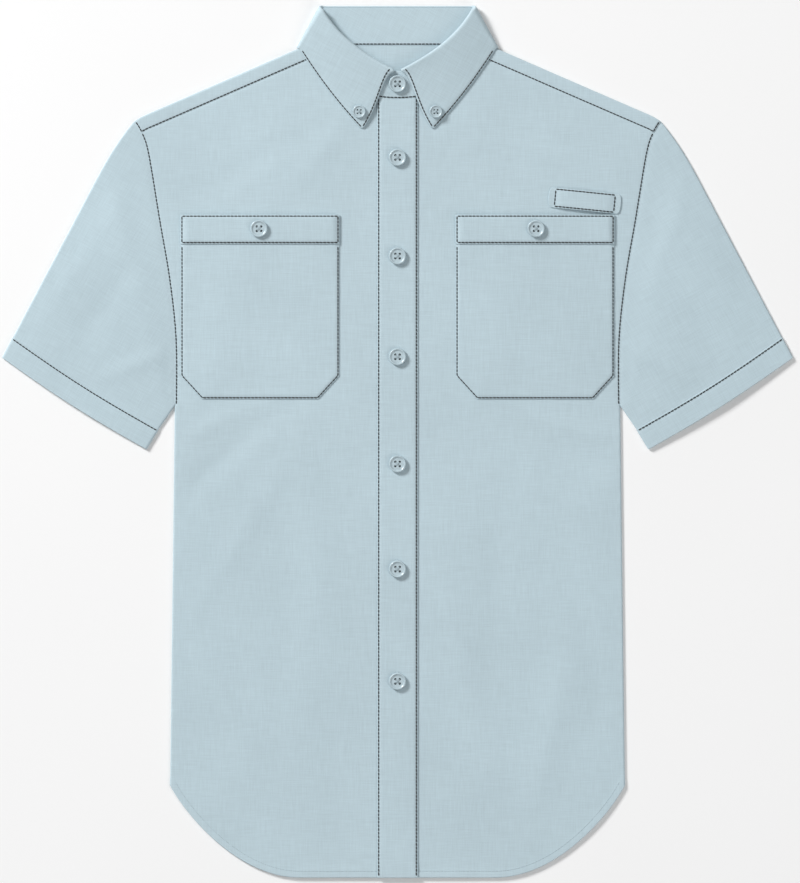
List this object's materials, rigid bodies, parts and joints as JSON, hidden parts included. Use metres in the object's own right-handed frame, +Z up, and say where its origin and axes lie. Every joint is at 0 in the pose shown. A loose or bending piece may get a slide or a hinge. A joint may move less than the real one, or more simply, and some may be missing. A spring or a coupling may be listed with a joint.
{
  "type": "fishing shirt",
  "caption": "Short-sleeved button-front fishing shirt, laid flat, with a button-down collar, chest pockets and a small utility loop.",
  "frame": {"origin": "centre of the shirt's outline in plan, on the surface that it lies on", "axes": "+Y from hem to collar, +X to the wearer's left, +Z up out of the shirt's front, which faces up"},
  "size_m": [0.7264, 0.8016, 0.0112],
  "materials": {
    "shirting": "matte plain-weave shirting, pale grey-blue",
    "button": "satin resin, dyed to match the cloth"
  },
  "bodies": {
    "root": {"back_panel": "shirting", "back_yoke": "shirting", "front_left": "shirting", "front_right": "shirting", "front_placket": "shirting", "sleeve_left": "shirting", "sleeve_right": "shirting", "sleeve_hem_left": "shirting", "sleeve_hem_right": "shirting", "collar_stand": "shirting", "collar_leaf": "shirting", "pocket_left": "shirting", "pocket_right": "shirting", "pocket_band_left": "shirting", "pocket_band_right": "shirting", "utility_tab": "shirting", "stand_button": "button", "front_button_1": "button", "front_button_2": "button", "front_button_3": "button", "front_button_4": "button", "front_button_5": "button", "front_button_6": "button", "pocket_button_left": "button", "pocket_button_right": "button", "collar_button_left": "button", "collar_button_right": "button"}
  },
  "joints": []
}
